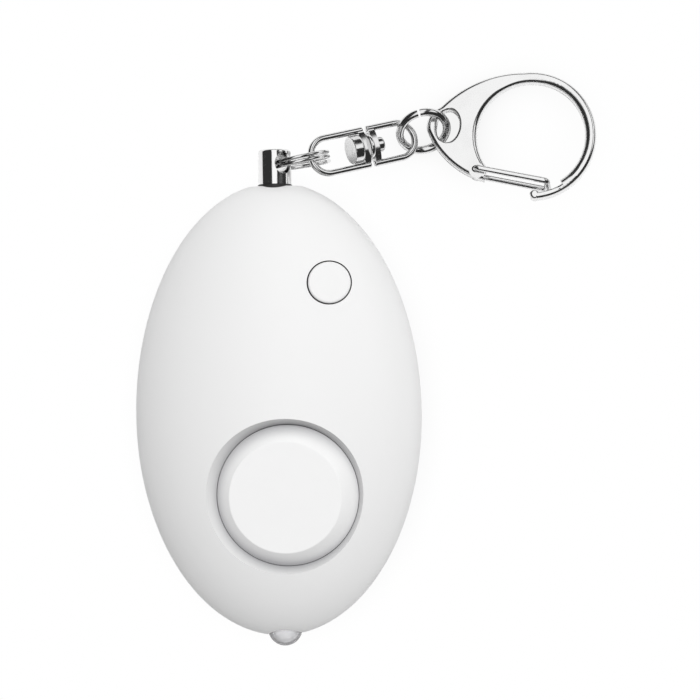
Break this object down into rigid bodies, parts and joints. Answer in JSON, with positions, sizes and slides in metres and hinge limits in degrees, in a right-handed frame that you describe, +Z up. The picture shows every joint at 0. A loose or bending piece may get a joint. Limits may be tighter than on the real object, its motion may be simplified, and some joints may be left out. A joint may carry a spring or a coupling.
{
  "type": "personal safety alarm",
  "caption": "White egg-shaped personal alarm with a round siren recess, a torch button, a clear torch lens and a metal pull pin on a split ring, swivel and snap clip",
  "frame": {"origin": "on the surface that the back rests on, below the casing's widest line", "axes": "+Z up out of the front face, +Y along the casing to the pull pin, +X across the casing to the clip's side"},
  "size_m": [0.0625, 0.0769, 0.02],
  "materials": {
    "shell_white": "satin moulded",
    "cap_white": "smooth moulded",
    "button_white": "satin moulded",
    "pin_chrome": "polished plate",
    "ring_nickel": "polished plate",
    "clip_nickel": "polished plate over a casting",
    "lens_clear": "clear moulded",
    "lamp_clear": "clear moulded",
    "bush_black": "moulded",
    "switch_black": "moulded",
    "sounder_brass": "rolled",
    "sounder_ceramic": "silvered ceramic",
    "board_green": "lacquered laminate",
    "cell_steel": "nickel-plated can",
    "contact_steel": "plated spring strip",
    "screw_steel": "zinc plated",
    "ferrite": "sintered",
    "copper_wire": "enamelled",
    "sleeve_black": "shrunk sleeve"
  },
  "bodies": {
    "housing": {"front_shell": "shell_white", "back_shell": "shell_white", "siren_cap": "cap_white", "sounder_plate": "sounder_brass", "sounder_ceramic": "sounder_ceramic", "sounder_ring": "switch_black", "torch_switch": "switch_black", "circuit_board": "board_green", "button_cell_1": "cell_steel", "button_cell_2": "cell_steel", "button_cell_3": "cell_steel", "contact_plus": "contact_steel", "contact_minus": "contact_steel", "coil_core": "ferrite", "coil_winding": "copper_wire", "capacitor": "sleeve_black", "driver_chip": "switch_black", "transistor": "switch_black", "case_screw_1": "screw_steel", "case_screw_2": "screw_steel", "case_screw_3": "screw_steel", "case_screw_4": "screw_steel", "pin_bush": "bush_black", "trigger_switch": "switch_black", "torch_lens": "lens_clear", "torch_lamp": "lamp_clear"},
    "button": {"torch_button": "button_white"},
    "switch_stem": {"torch_switch_stem": "switch_black"},
    "pin": {"pull_pin": "pin_chrome"},
    "plunger": {"trigger_plunger": "switch_black"},
    "key_ring": {"split_ring": "ring_nickel"},
    "swivel_lower": {"swivel_lower_eye": "ring_nickel", "swivel_rivet": "ring_nickel"},
    "swivel_upper": {"swivel_upper_eye": "ring_nickel"},
    "jump_link": {"jump_ring": "ring_nickel"},
    "clip": {"clip_body": "clip_nickel"},
    "gate": {"clip_gate": "clip_nickel"}
  },
  "joints": [
    {"name": "button_press", "type": "slide", "parent": "housing", "child": "button", "axis": [0, 0, -1], "range_m": [0, 0.0005], "stiffness_N_per_m": 300},
    {"name": "stem_press", "type": "slide", "parent": "housing", "child": "switch_stem", "axis": [0, 0, -1], "range_m": [0, 0.0005]},
    {"name": "pin_pull", "type": "slide", "parent": "housing", "child": "pin", "axis": [0, 1, 0], "range_m": [0, 0.016]},
    {"name": "plunger_travel", "type": "slide", "parent": "housing", "child": "plunger", "axis": [0, 1, 0], "range_m": [0, 0.0008]},
    {"name": "split_ring_swing", "type": "hinge", "parent": "pin", "child": "key_ring", "pos_m": [0, 0.0335, 0.0098], "axis": [0.6293, 0, 0.7771], "range_deg": [-10, 120]},
    {"name": "swivel_pitch", "type": "hinge", "parent": "key_ring", "child": "swivel_lower", "pos_m": [0.00493, 0.03415, 0.00914], "axis": [-0.2334, 0.9724, 0], "range_deg": [-15, 15]},
    {"name": "swivel_turn", "type": "hinge", "parent": "swivel_lower", "child": "swivel_upper", "pos_m": [0.01306, 0.0361, 0.00518], "axis": [0.8791, 0.2111, -0.4274], "continuous": true},
    {"name": "jump_ring_swing", "type": "hinge", "parent": "swivel_upper", "child": "jump_link", "pos_m": [0.01855, 0.03742, 0.00251], "axis": [-0.2334, 0.9724, 0], "range_deg": [-12, 12]},
    {"name": "clip_swing", "type": "hinge", "parent": "jump_link", "child": "clip", "pos_m": [0.01984, 0.03816, 0.0029], "axis": [0.2016, -0.682, 0.703], "range_deg": [-20, 20]},
    {"name": "gate_open", "type": "hinge", "parent": "clip", "child": "gate", "pos_m": [0.02707, 0.03237, 0.00373], "axis": [-0.2389, 0.3248, 0.9151], "range_deg": [0, 25], "stiffness_Nm_per_rad": 0.002}
  ],
  "couplings": [
    {"joint": "stem_press", "follows": "button_press", "ratio": 1},
    {"joint": "plunger_travel", "follows": "pin_pull", "ratio": 0.05}
  ]
}
